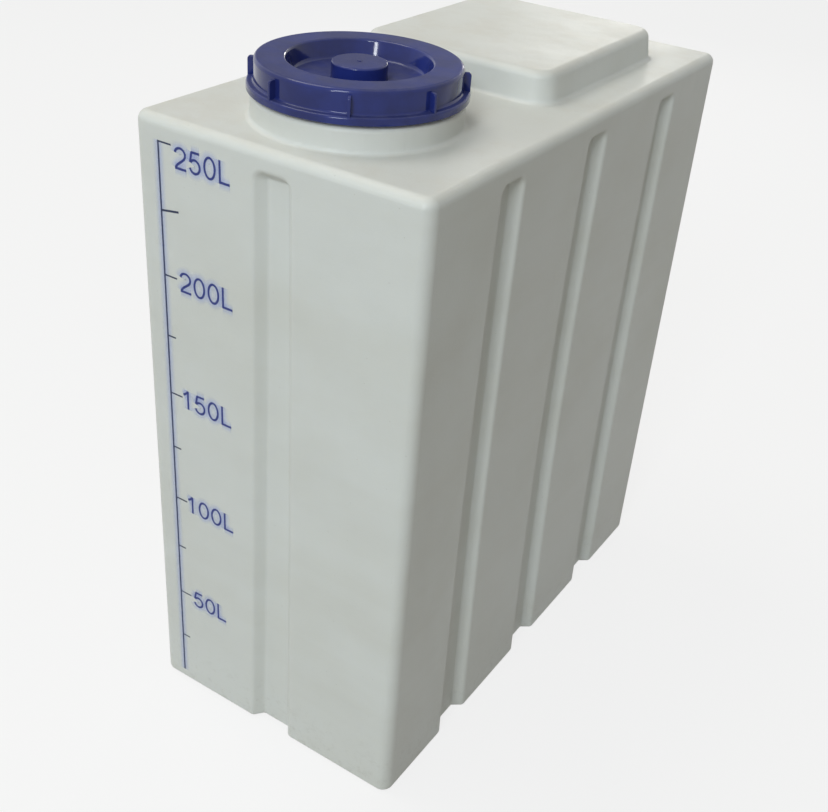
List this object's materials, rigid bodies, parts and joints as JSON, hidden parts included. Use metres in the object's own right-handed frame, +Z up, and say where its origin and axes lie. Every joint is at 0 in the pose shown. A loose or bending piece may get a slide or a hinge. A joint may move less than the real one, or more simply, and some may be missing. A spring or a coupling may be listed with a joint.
{
  "type": "water storage tank",
  "caption": "Upright moulded water storage tank with a sunk-top screw lid, a raised block on its deck and upright stiffening channels in its walls.",
  "frame": {"origin": "middle of the footprint, on the floor that the tank stands on", "axes": "+Z up, +X to the right along the width, +Y from the front wall with the lid towards the raised block at the rear"},
  "size_m": [0.41, 0.775, 0.941],
  "materials": {
    "tank_shell": "satin natural polyethylene",
    "lid_shell": "satin blue polypropylene",
    "seal": "matt black rubber"
  },
  "bodies": {
    "tank_body": {"tank": "tank_shell"},
    "seal_body": {"lid_seal": "seal"},
    "lid_body": {"lid": "lid_shell"}
  },
  "joints": [
    {"name": "lid_rise", "type": "slide", "parent": "tank_body", "child": "seal_body", "axis": [0, 0, 1], "range_m": [0, 0.03]},
    {"name": "lid_turn", "type": "hinge", "parent": "seal_body", "child": "lid_body", "pos_m": [0, -0.2315, 0.9], "axis": [0, 0, 1], "range_deg": [0, 900]}
  ],
  "couplings": [
    {"joint": "lid_rise", "follows": "lid_turn", "m_per_rad": 0.0019099}
  ]
}
